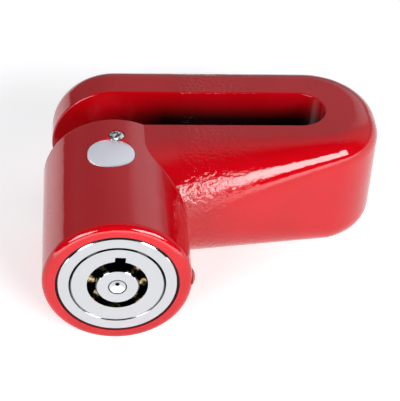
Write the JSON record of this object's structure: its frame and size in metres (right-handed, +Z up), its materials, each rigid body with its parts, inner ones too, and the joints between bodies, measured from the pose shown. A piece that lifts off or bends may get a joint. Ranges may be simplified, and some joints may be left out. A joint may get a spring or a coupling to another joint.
{
  "type": "disc brake lock",
  "caption": "Red slotted clamp lock for a motorcycle brake disc, with a push-in tubular lock plunger whose steel pin crosses the slot.",
  "frame": {"origin": "on the locking pin's axis, half-way across the disc slot", "axes": "+X from the slot's mouth to its closed end, +Y from the barrel's mouth to the far leg, +Z up"},
  "size_m": [0.0588, 0.0477, 0.0244],
  "materials": {
    "paint_red": "gloss red lacquer on a zinc die casting",
    "chrome_plate": "bright plate, fine turned lines",
    "hard_steel": "ground and hardened",
    "plug_steel": "bright, lightly brushed",
    "staked_steel": "punched and rough",
    "spring_steel": "drawn wire",
    "core_brass": "turned brass",
    "seal_rubber": "matt black"
  },
  "bodies": {
    "housing": {"body_casting": "paint_red", "near_leg_bush": "hard_steel", "far_leg_bush": "hard_steel", "cover_plug": "plug_steel", "stake_pin": "staked_steel", "guide_pin": "paint_red", "mouth_seal": "seal_rubber", "spring_washer": "spring_steel", "return_spring": "spring_steel"},
    "plunger": {"plunger_sleeve": "chrome_plate", "locking_pin": "hard_steel", "pin_dowel": "hard_steel", "core_shell": "chrome_plate", "core_retainer": "hard_steel", "pin_carrier": "core_brass", "latch_spring": "spring_steel", "tumbler_spring_1": "spring_steel", "tumbler_spring_2": "spring_steel", "tumbler_spring_3": "spring_steel", "tumbler_spring_4": "spring_steel", "tumbler_spring_5": "spring_steel", "tumbler_spring_6": "spring_steel", "tumbler_spring_7": "spring_steel"},
    "rotor": {"core_rotor": "chrome_plate"},
    "latch": {"latch_bolt": "hard_steel"},
    "key_pin_1": {"key_pin_1": "core_brass"},
    "driver_pin_1": {"driver_pin_1": "core_brass"},
    "key_pin_2": {"key_pin_2": "core_brass"},
    "driver_pin_2": {"driver_pin_2": "core_brass"},
    "key_pin_3": {"key_pin_3": "core_brass"},
    "driver_pin_3": {"driver_pin_3": "core_brass"},
    "key_pin_4": {"key_pin_4": "core_brass"},
    "driver_pin_4": {"driver_pin_4": "core_brass"},
    "key_pin_5": {"key_pin_5": "core_brass"},
    "driver_pin_5": {"driver_pin_5": "core_brass"},
    "key_pin_6": {"key_pin_6": "core_brass"},
    "driver_pin_6": {"driver_pin_6": "core_brass"},
    "key_pin_7": {"key_pin_7": "core_brass"},
    "driver_pin_7": {"driver_pin_7": "core_brass"}
  },
  "joints": [
    {"name": "plunger_slide", "type": "slide", "parent": "housing", "child": "plunger", "axis": [0, -1, 0], "range_m": [0, 0.0139], "deforming": ["return_spring"]},
    {"name": "rotor_turn", "type": "hinge", "parent": "plunger", "child": "rotor", "pos_m": [0, -0.0215, 0], "axis": [0, 1, 0], "range_deg": [0, 60]},
    {"name": "latch_slide", "type": "slide", "parent": "plunger", "child": "latch", "axis": [0, 0, -1], "range_m": [0, 0.001], "deforming": ["latch_spring"]},
    {"name": "key_pin_slide_1", "type": "slide", "parent": "rotor", "child": "key_pin_1", "axis": [0, 1, 0], "range_m": [0, 0.00095], "stiffness_N_per_m": 60},
    {"name": "driver_slide_1", "type": "slide", "parent": "plunger", "child": "driver_pin_1", "axis": [0, 1, 0], "range_m": [0, 0.00095], "deforming": ["tumbler_spring_1"]},
    {"name": "key_pin_slide_2", "type": "slide", "parent": "rotor", "child": "key_pin_2", "axis": [0, 1, 0], "range_m": [0, 0.00095], "stiffness_N_per_m": 60},
    {"name": "driver_slide_2", "type": "slide", "parent": "plunger", "child": "driver_pin_2", "axis": [0, 1, 0], "range_m": [0, 0.00095], "deforming": ["tumbler_spring_2"]},
    {"name": "key_pin_slide_3", "type": "slide", "parent": "rotor", "child": "key_pin_3", "axis": [0, 1, 0], "range_m": [0, 0.00095], "stiffness_N_per_m": 60},
    {"name": "driver_slide_3", "type": "slide", "parent": "plunger", "child": "driver_pin_3", "axis": [0, 1, 0], "range_m": [0, 0.00095], "deforming": ["tumbler_spring_3"]},
    {"name": "key_pin_slide_4", "type": "slide", "parent": "rotor", "child": "key_pin_4", "axis": [0, 1, 0], "range_m": [0, 0.00095], "stiffness_N_per_m": 60},
    {"name": "driver_slide_4", "type": "slide", "parent": "plunger", "child": "driver_pin_4", "axis": [0, 1, 0], "range_m": [0, 0.00095], "deforming": ["tumbler_spring_4"]},
    {"name": "key_pin_slide_5", "type": "slide", "parent": "rotor", "child": "key_pin_5", "axis": [0, 1, 0], "range_m": [0, 0.00095], "stiffness_N_per_m": 60},
    {"name": "driver_slide_5", "type": "slide", "parent": "plunger", "child": "driver_pin_5", "axis": [0, 1, 0], "range_m": [0, 0.00095], "deforming": ["tumbler_spring_5"]},
    {"name": "key_pin_slide_6", "type": "slide", "parent": "rotor", "child": "key_pin_6", "axis": [0, 1, 0], "range_m": [0, 0.00095], "stiffness_N_per_m": 60},
    {"name": "driver_slide_6", "type": "slide", "parent": "plunger", "child": "driver_pin_6", "axis": [0, 1, 0], "range_m": [0, 0.00095], "deforming": ["tumbler_spring_6"]},
    {"name": "key_pin_slide_7", "type": "slide", "parent": "rotor", "child": "key_pin_7", "axis": [0, 1, 0], "range_m": [0, 0.00095], "stiffness_N_per_m": 60},
    {"name": "driver_slide_7", "type": "slide", "parent": "plunger", "child": "driver_pin_7", "axis": [0, 1, 0], "range_m": [0, 0.00095], "deforming": ["tumbler_spring_7"]}
  ],
  "couplings": [
    {"joint": "rotor_turn", "follows": "latch_slide", "rad_per_m": 1047},
    {"joint": "driver_slide_1", "follows": "key_pin_slide_1", "ratio": 1},
    {"joint": "driver_slide_2", "follows": "key_pin_slide_2", "ratio": 1},
    {"joint": "driver_slide_3", "follows": "key_pin_slide_3", "ratio": 1},
    {"joint": "driver_slide_4", "follows": "key_pin_slide_4", "ratio": 1},
    {"joint": "driver_slide_5", "follows": "key_pin_slide_5", "ratio": 1},
    {"joint": "driver_slide_6", "follows": "key_pin_slide_6", "ratio": 1},
    {"joint": "driver_slide_7", "follows": "key_pin_slide_7", "ratio": 1}
  ]
}
